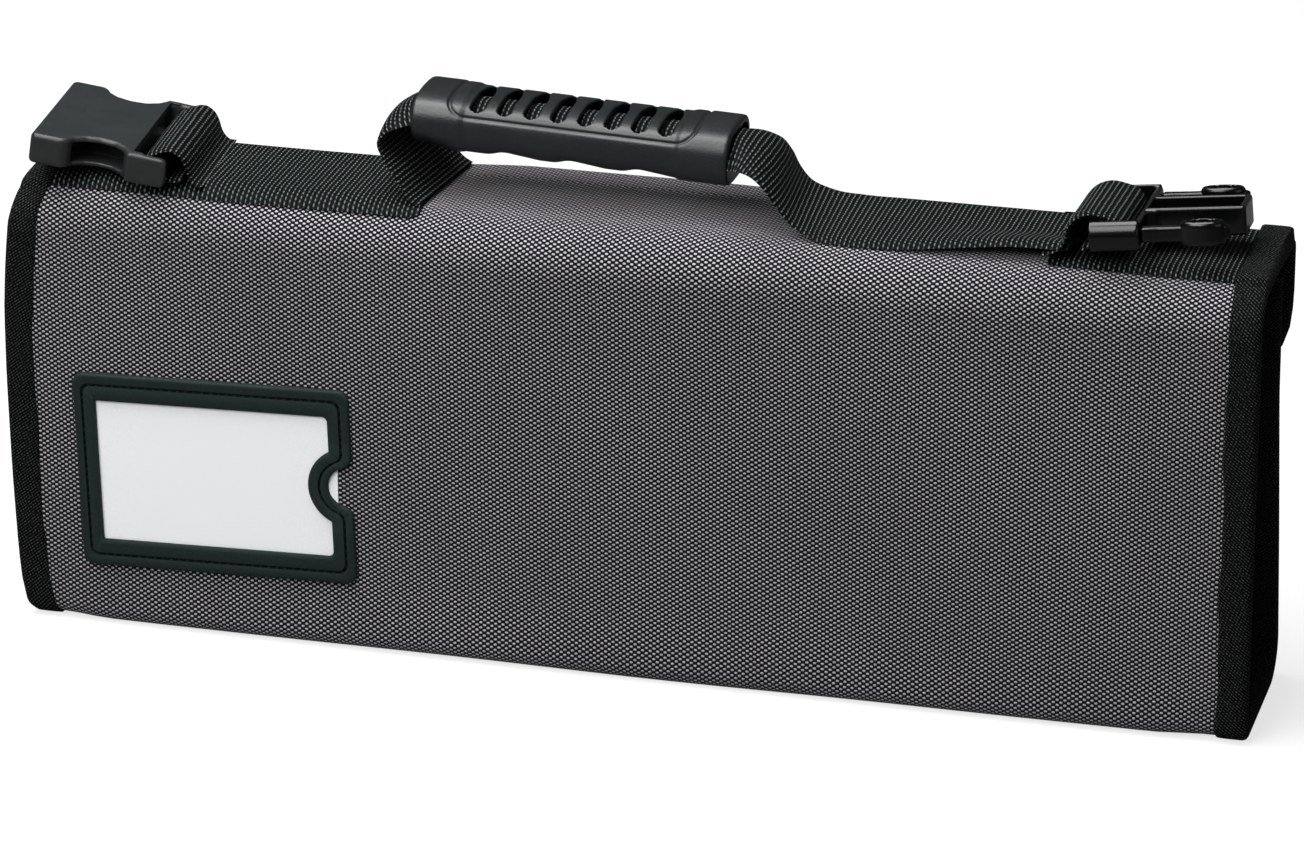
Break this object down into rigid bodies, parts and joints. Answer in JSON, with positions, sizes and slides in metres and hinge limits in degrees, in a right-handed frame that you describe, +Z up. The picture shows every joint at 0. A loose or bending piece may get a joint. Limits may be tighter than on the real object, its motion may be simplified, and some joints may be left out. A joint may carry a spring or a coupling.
{
  "type": "knife case",
  "caption": "Semi-rigid folding knife case with hinged spine and closure flap, webbing handle with slotted grip, side release buckle halves, card holder, and blade sleeves inside",
  "frame": {"origin": "centre of the bounding box in X and Y, on the floor under the closed case", "axes": "X along the case, from the socket end to the plug end; the front panel with the card holder faces -Y; Z up"},
  "size_m": [0.442, 0.0689, 0.2005],
  "materials": {
    "grey_nylon": "coarse plain weave, pale yarn over black",
    "twill_tape": "fine black twill",
    "webbing": "ribbed black webbing with a slight sheen",
    "lining": "smooth woven lining",
    "sleeve_cloth": "plain woven cloth",
    "elastic": "knitted elastic",
    "fastener_tape": "hook and loop pile",
    "board": "plain sheet",
    "buckle_plastic": "fine moulded texture",
    "grip_plastic": "satin moulded",
    "frame_rubber": "matt moulded rubber",
    "clear_film": "clear flexible film",
    "card_paper": "blank white card"
  },
  "bodies": {
    "tray": {"front_cover": "grey_nylon", "front_lining": "lining", "front_board": "board", "bottom_board": "board", "front_tape_left": "twill_tape", "front_tape_right": "twill_tape", "front_sleeves": "sleeve_cloth", "front_loops": "elastic", "card_frame": "frame_rubber", "card_window": "clear_film"},
    "back_panel": {"back_cover": "grey_nylon", "back_lining": "lining", "back_board": "board", "back_tape": "twill_tape", "loop_tape": "fastener_tape", "back_sleeves": "sleeve_cloth", "back_loops": "elastic"},
    "lid": {"spine_cover": "grey_nylon", "spine_lining": "lining", "spine_board": "board", "spine_tape_left": "twill_tape", "spine_tape_right": "twill_tape", "webbing_left": "webbing", "webbing_right": "webbing", "end_webbing_left": "webbing", "end_webbing_right": "webbing", "buckle_loop_left": "webbing", "buckle_loop_right": "webbing", "handle_foot_left": "webbing", "handle_foot_right": "webbing"},
    "flap": {"flap_cover": "grey_nylon", "flap_lining": "lining", "flap_board": "board", "flap_tape": "twill_tape", "hook_tape": "fastener_tape"},
    "handle": {"grip": "grip_plastic", "handle_strap": "webbing"},
    "buckle_socket": {"female_buckle": "buckle_plastic"},
    "buckle_plug": {"male_buckle": "buckle_plastic"},
    "plug_prong_front": {"prong_front": "buckle_plastic"},
    "plug_prong_rear": {"prong_rear": "buckle_plastic"},
    "card": {"id_card": "card_paper"}
  },
  "joints": [
    {"name": "lid_hinge", "type": "hinge", "parent": "tray", "child": "lid", "pos_m": [0, -0.03225, 0.146], "axis": [1, 0, 0], "range_deg": [0, 175]},
    {"name": "back_hinge", "type": "hinge", "parent": "tray", "child": "back_panel", "pos_m": [0, 0.03202, 0.0149], "axis": [-1, 0, 0], "range_deg": [0, 8.75]},
    {"name": "flap_hinge", "type": "hinge", "parent": "lid", "child": "flap", "pos_m": [0, 0.03355, 0.157], "axis": [1, 0, 0], "range_deg": [0, 165]},
    {"name": "handle_swing", "type": "hinge", "parent": "lid", "child": "handle", "pos_m": [0, 0.00315, 0.1649], "axis": [1, 0, 0], "range_deg": [-35, 35], "stiffness_Nm_per_rad": 0.08, "deforming": ["handle_foot_left", "handle_foot_right"]},
    {"name": "socket_pivot", "type": "hinge", "parent": "lid", "child": "buckle_socket", "pos_m": [-0.1675, 0.00065, 0.17131], "axis": [-0.0785, 0.9969, 0], "range_deg": [0, 100]},
    {"name": "plug_pivot", "type": "hinge", "parent": "lid", "child": "buckle_plug", "pos_m": [0.166, 0.00565, 0.17338], "axis": [0.0348, -0.9956, 0.0872], "range_deg": [0, 100]},
    {"name": "front_prong_flex", "type": "hinge", "parent": "buckle_plug", "child": "plug_prong_front", "pos_m": [0.17858, -0.01822, 0.17675], "axis": [-0.1075, 0.083, 0.9907], "range_deg": [0, 6], "stiffness_Nm_per_rad": 0.05},
    {"name": "rear_prong_flex", "type": "hinge", "parent": "buckle_plug", "child": "plug_prong_rear", "pos_m": [0.17687, 0.03056, 0.17248], "axis": [0.1075, -0.083, -0.9907], "range_deg": [0, 6], "stiffness_Nm_per_rad": 0.05},
    {"name": "card_slide", "type": "slide", "parent": "tray", "child": "card", "axis": [1, 0, 0], "range_m": [0, 0.095]}
  ],
  "couplings": [
    {"joint": "back_hinge", "follows": "lid_hinge", "ratio": 0.05}
  ]
}
